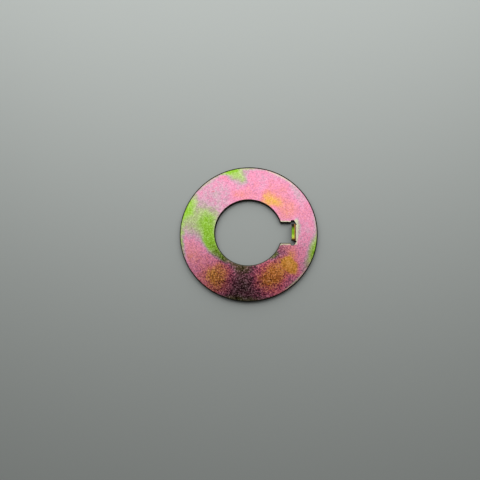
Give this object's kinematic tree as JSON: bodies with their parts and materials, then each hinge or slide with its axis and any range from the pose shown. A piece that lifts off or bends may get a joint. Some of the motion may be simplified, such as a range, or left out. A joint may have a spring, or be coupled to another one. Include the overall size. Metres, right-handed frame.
{
  "type": "lock washer",
  "caption": "Flat round lock washer of plated sheet steel, with a square notch in its bore and a short tang bent up at the notch's end.",
  "frame": {"origin": "on the axis of the bore, at the flat underside that the washer lies on", "axes": "+Z along the bore's axis, the way the tang stands; +X from the bore's axis through the notch and the tang"},
  "size_m": [0.042, 0.042, 0.0024],
  "materials": {
    "yellow_chromate": "zinc plated with an iridescent yellow chromate, pink, green and gold"
  },
  "bodies": {
    "root": {"lock_washer": "yellow_chromate"}
  },
  "joints": []
}
